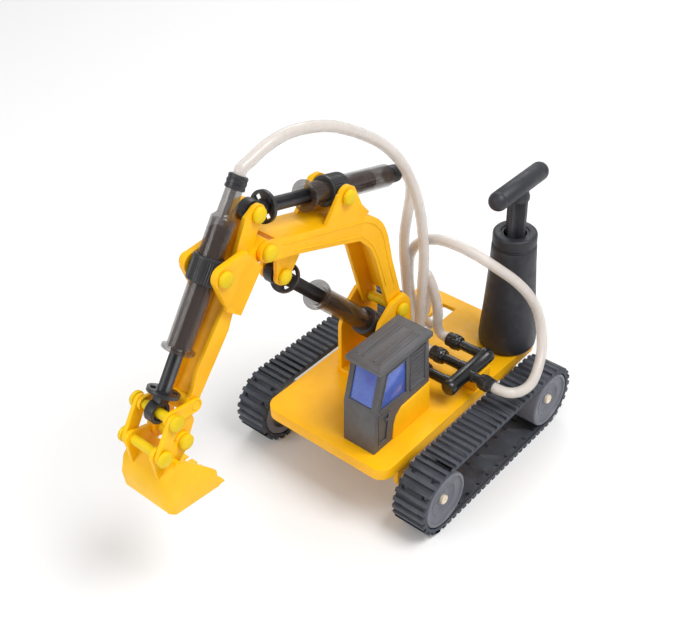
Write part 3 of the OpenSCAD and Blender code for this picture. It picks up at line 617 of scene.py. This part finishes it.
s.done("pump_cap_fine", "pump_black", "chassis", ("pump_cap",), angle=30)
s = Soup()
s.lathe([(-6.8, 0), (-6.8, 5.3), (-6.5, 5.6), (-4.9, 5.6), (-3.6, 5.2), (-2.4, 4.6), (-1, 4.3), (-1, 0)], (PX, PY, 130.8), (0, 0, 1), 64)
cap = [(-17.2 - 4.8 * math.cos(math.pi / 2 * i / 8), 4.8 * math.sin(math.pi / 2 * i / 8)) for i in range(9)]
body_ = cap + [(-16.9, 4.8), (-16.7, 4.66), (-16.5, 4.66), (-16.3, 4.8), (16.3, 4.8), (16.5, 4.66), (16.7, 4.66), (16.9, 4.8)] + [(-q, r) for q, r in reversed(cap)]
s.lathe(body_, (PX, PY, 130.8), (1, 0, 0), 64)
s.done("pump_handle_fine", "pump_black", "pump_plunger", ("pump_handle",))
s = Soup()
s.lathe([(0, 0), (0, 8.2), (1, 8.5), (2.2, 8.5), (2.8, 7.7), (5.2, 7.7), (5.8, 8.5), (7, 8.5), (8, 8.3), (8, 0)], (PX, PY, 67), (0, 0, 1), 72)
s.done("pump_piston_fine", "seal_rubber", "pump_plunger", ("pump_piston",))

# manifold: body with ports, fluted collars
s = Soup()
s.lathe([(-70, 0), (-70, 3.2), (-69.7, 3.7), (-69.2, 4), (-66, 4), (-65.6, 3.8), (-39.4, 3.8), (-39, 4), (-35.8, 4), (-35.3, 3.7), (-35, 3.2), (-35, 0)],
        (OX, 33.5, 49), (1, 0, 0), 72)
for x in (-40, -53.5, -67):
    s.lathe([(0, 0), (0, 2.9), (5.4, 2.9), (5.8, 2.5), (19.4, 2.5), (19.4, 0)], (x + OX, 33.5, 49), (0, -1, 0), 40)
s.lathe([(0, 0), (0, 2.9), (5.0, 2.9), (5.4, 2.5), (11.9, 2.5), (11.9, 0)], (-50.5 + OX, 33.5, 49), (0, 1, 0), 40)
s.done("manifold_body_fine", "gloss_black", "chassis", ("manifold_body",))
s = Soup()
for x, y, d in ((-40, 10.5, 1), (-53.5, 10.5, 1), (-67, 10.5, 1), (-50.5, 50, -1)):
    fl = lambda q, k, n: (-0.045 if (k % 4) in (0, 1) else 0.0) if 0.9 < q < 2.9 or 3.9 < q < 5.9 else 0.0
    s.lathe([(0, 2.35), (0, 3.3), (0.4, 3.7), (0.85, 3.7), (0.95, 3.7), (2.85, 3.7), (3.0, 3.7), (3.3, 4.05), (3.85, 4.1), (3.95, 4.1), (5.85, 4.1),
             (6.0, 4.1), (6.5, 3.9), (6.8, 3.7), (7.6, 3.7), (8, 3.4), (8, 2.52), (3.4, 2.52), (3.4, 2.35)],
            (x + OX, y, 49), (0, d, 0), 96, wave=fl, closed=True)
s.done("port_collars_fine", "gloss_black", "chassis", ("port_collars",), angle=30)

# ------------------------------------------------------------------ cab details
refine("cab_roof", 0.3, 3)
s = Soup()
# louvre slats behind the rear side frame
for i in range(7):
    z = 61.0 + i * 2.6
    s.prism([(-25.2 + OX, z), (-15.4 + OX, z), (-15.4 + OX, z + 0.5), (-25.2 + OX, z + 0.5)], 26.05, 26.5)
# side window frame and a rail across it
for a_, b_ in (((7.9, 61.4), (2.2, 80.0)), ((2.2, 80.0), (-11.7, 80.0)), ((-11.7, 80.0), (-11.7, 60.1)), ((-11.7, 60.1), (7.9, 61.4)),
               ((8.5, 57.7), (1.2, 56.7)), ((1.2, 56.7), (3.5, 41.2)), ((3.5, 41.2), (8.7, 41.2)), ((8.7, 41.2), (8.5, 57.7)),
               ((-14.6, 80.0), (-26.0, 80.0)), ((-26.0, 80.0), (-26.0, 59.0)), ((-26.0, 59.0), (-14.6, 59.0)), ((-14.6, 59.0), (-14.6, 80.0))):
    p, q = V2(a_[0] + OX, a_[1]), V2(b_[0] + OX, b_[1])
    d = (q - p).normalized()
    n_ = V2(-d.y, d.x) * 0.3
    s.prism([tuple(p + n_ - d * 0.3), tuple(q + n_ + d * 0.3), tuple(q - n_ + d * 0.3), tuple(p - n_ - d * 0.3)], 26.5, 26.95)
s.box((1.5 + OX, 26.5, 52.6), (3.9 + OX, 27.0, 53.6))
s.done("cab_trim", "cab_grey", "chassis", (), bevel=0.12, segments=2)
refine("cab_windows", 0.15, 2)

# ------------------------------------------------------------------ floor and light
floor_me = bpy.data.meshes.new("floor")
floor_me.from_pydata([(-6, -6, 0), (6, -6, 0), (6, 6, 0), (-6, 6, 0)], [], [(0, 1, 2, 3)])
floor = link("floor", floor_me)
fm = bpy.data.materials.new("floor")
fm.use_nodes = True
fb = fm.node_tree.nodes["Principled BSDF"]
fb.inputs["Base Color"].default_value = (0.86, 0.86, 0.86, 1)
fb.inputs["Roughness"].default_value = 0.85
fb.inputs["Specular IOR Level"].default_value = 0.1
floor_me.materials.append(fm)

world = bpy.data.worlds.new("studio")
world.use_nodes = True
world.node_tree.nodes["Background"].inputs[0].default_value = (1, 1, 1, 1)
world.node_tree.nodes["Background"].inputs[1].default_value = 0.57
scene.world = world


def area(name, loc, size, power, target=(0, 0, 0.08)):
    d = bpy.data.lights.new(name, "AREA")
    d.shape = "RECTANGLE"
    d.size = size[0]
    d.size_y = size[1]
    d.energy = power
    o = bpy.data.objects.new(name, d)
    scene.collection.objects.link(o)
    o.location = loc
    v = Vector(target) - Vector(loc)
    o.rotation_euler = v.to_track_quat("-Z", "Y").to_euler()
    return o


area("key", (-0.15, 0.55, 1.1), (0.6, 0.6), 10.0)
area("side", (0.95, -0.25, 0.7), (0.6, 0.6), 4.0)
area("rim", (-0.9, -0.5, 0.8), (0.6, 0.4), 3.0)
scene.view_settings.view_transform = "Standard"
